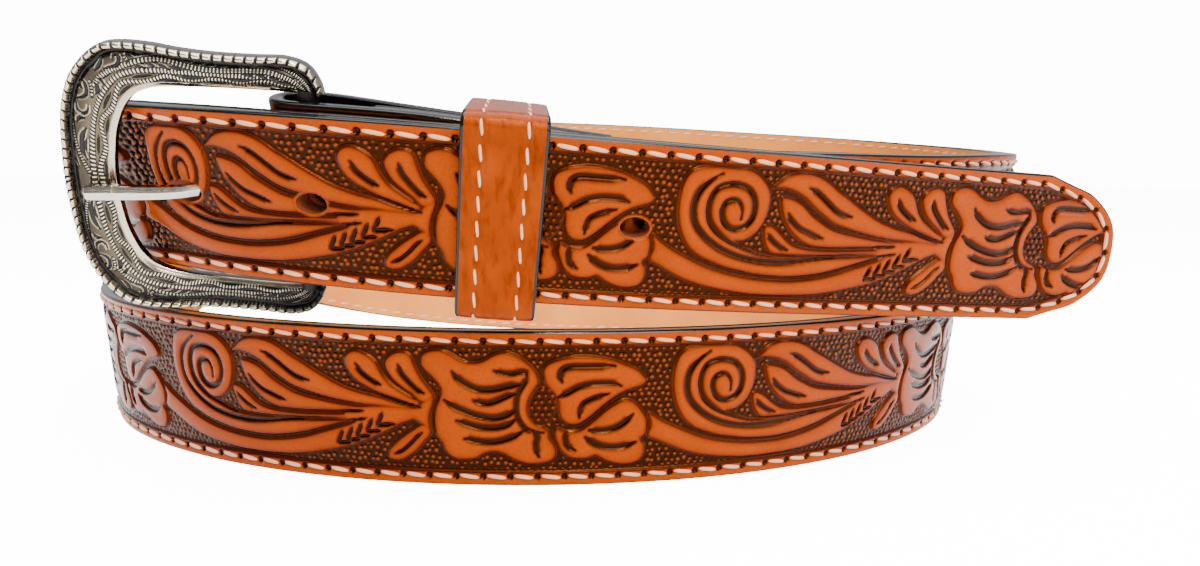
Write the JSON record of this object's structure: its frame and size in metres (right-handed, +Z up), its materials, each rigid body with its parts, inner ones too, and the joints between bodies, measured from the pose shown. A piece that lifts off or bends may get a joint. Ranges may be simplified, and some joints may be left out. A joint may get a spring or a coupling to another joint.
{
  "type": "buckled western tooled leather belt",
  "caption": "Narrow tooled and stitched leather belt with a cast silver buckle, prong and keeper, buckled and wound in two turns on edge.",
  "frame": {"origin": "on the floor, under the middle of the wound belt's bounding box", "axes": "+Z up, +X to the right along the coil's long side, +Y away from the buckle's side"},
  "size_m": [0.2048, 0.1552, 0.0689],
  "materials": {
    "tooled_leather": "raised parts orange tan, ground dark brown, edges black, glossy",
    "lining_leather": "natural tan, matte",
    "keeper_leather": "orange tan, glossy, black edges",
    "cast_silver": "antiqued cast silver plate with dark recesses",
    "bright_silver": "bright silver plate"
  },
  "bodies": {
    "root": {"tooled_strap": "tooled_leather", "strap_lining": "lining_leather", "keeper": "keeper_leather", "buckle_frame": "cast_silver", "buckle_prong": "bright_silver"}
  },
  "joints": []
}
